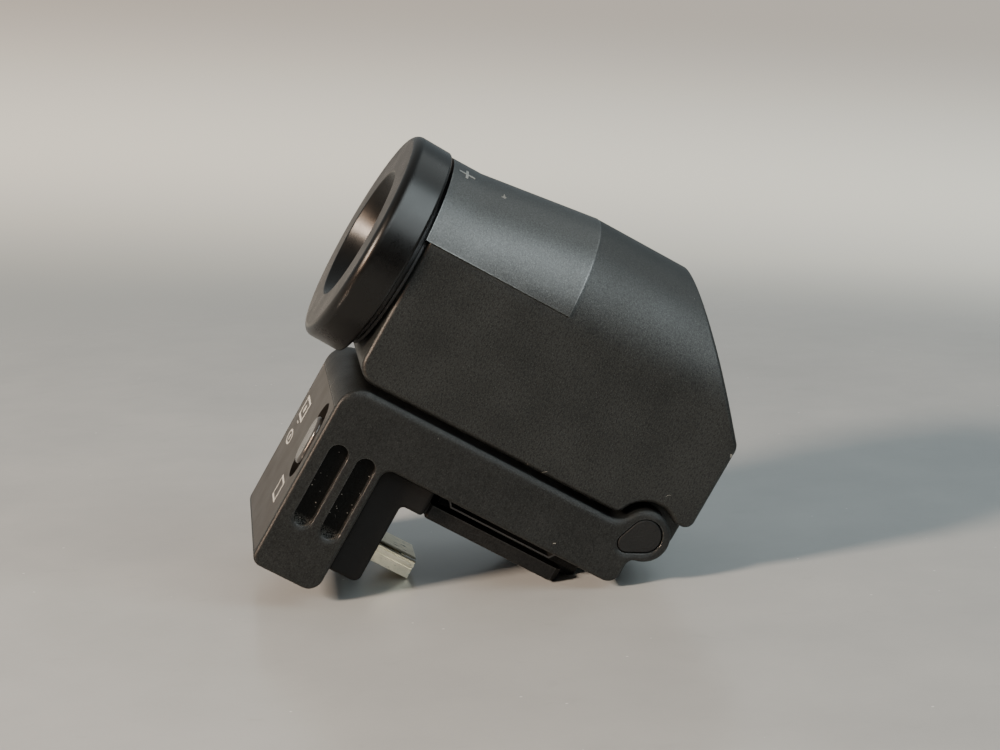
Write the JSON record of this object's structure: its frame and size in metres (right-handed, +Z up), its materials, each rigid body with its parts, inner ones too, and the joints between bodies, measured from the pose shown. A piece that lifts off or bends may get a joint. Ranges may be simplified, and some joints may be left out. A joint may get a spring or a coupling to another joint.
{
  "type": "clip-on tilting electronic viewfinder",
  "caption": "Small black electronic viewfinder that tilts up on a hinged L-shaped bracket with a shoe foot, a rear selector and a forward-pointing plug.",
  "frame": {"origin": "middle of the underside of the accessory-shoe foot", "axes": "+Z up, +Y forward along the optical axis (the eyepiece faces -Y), +X right; the foot slides into a camera's shoe along +Y"},
  "size_m": [0.0272, 0.0507, 0.0537],
  "materials": {
    "body_paint": "fine-textured satin black paint on die-cast metal",
    "panel_black": "smooth satin black paint",
    "ring_black": "satin black",
    "block_black": "matte black",
    "cap_black": "rough matte black",
    "tube_black": "black anodised",
    "knob_grey": "glossy dark grey",
    "foot_black": "satin black paint",
    "plug_metal": "nickel plated",
    "steel": "bright",
    "screw_black": "blackened steel",
    "contact_gold": "gold plated",
    "bush_brass": "plain",
    "plug_tongue": "moulded",
    "board_green": "solder mask",
    "chip_black": "moulded",
    "switch_plastic": "moulded",
    "lens_glass": "coated optical glass",
    "display_dark": "dark display glass",
    "print_white": "thin pale printed ink"
  },
  "bodies": {
    "base": {"base_bracket": "body_paint", "rear_panel": "panel_black", "main_board": "board_green", "slide_switch": "switch_plastic", "board_chips": "chip_black", "connector_block": "block_black", "plug_shell": "plug_metal", "plug_tongue": "plug_tongue", "plug_contacts": "contact_gold", "plug_solder_tails": "contact_gold", "arm_floor": "block_black", "shoe_foot": "foot_black", "foot_screws": "screw_black", "foot_springs": "steel", "hinge_pin": "steel", "friction_washers": "steel", "hinge_cap_right": "cap_black", "hinge_cap_left": "cap_black", "mark_screen": "print_white", "mark_eye": "print_white", "mark_plate": "print_white"},
    "finder": {"finder_shell": "body_paint", "bottom_cover": "block_black", "cover_screws": "screw_black", "rear_shroud": "body_paint", "lens_tube": "tube_black", "hinge_leaf": "body_paint", "hinge_leaf_screws": "steel", "hinge_bushes": "bush_brass", "display_holder": "block_black", "display_panel": "display_dark", "display_board": "board_green", "display_chips": "chip_black", "mark_plus": "print_white"},
    "eyepiece": {"eyepiece_ring": "ring_black"},
    "optic": {"lens_cell": "tube_black", "eye_lens": "lens_glass", "field_lens": "lens_glass", "rear_lens": "lens_glass", "lens_spacers": "tube_black", "lens_lock_ring": "tube_black"},
    "selector": {"selector_knob": "knob_grey", "selector_keeper": "switch_plastic"}
  },
  "joints": [
    {"name": "finder_tilt", "type": "hinge", "parent": "base", "child": "finder", "pos_m": [0, 0.01465, 0.0109], "axis": [-1, 0, 0], "range_deg": [0, 90]},
    {"name": "dioptre_turn", "type": "hinge", "parent": "finder", "child": "eyepiece", "pos_m": [0, -0.0285, 0.0253], "axis": [0, 0.9996, -0.0279], "range_deg": [-50, 50]},
    {"name": "lens_focus", "type": "slide", "parent": "finder", "child": "optic", "axis": [0, 0.9996, -0.0279], "range_m": [-0.001, 0.001]},
    {"name": "selector_slide", "type": "slide", "parent": "base", "child": "selector", "axis": [0, 0, 1], "range_m": [-0.0016, 0.0016]}
  ],
  "couplings": [
    {"joint": "dioptre_turn", "follows": "lens_focus", "rad_per_m": 872.66}
  ]
}
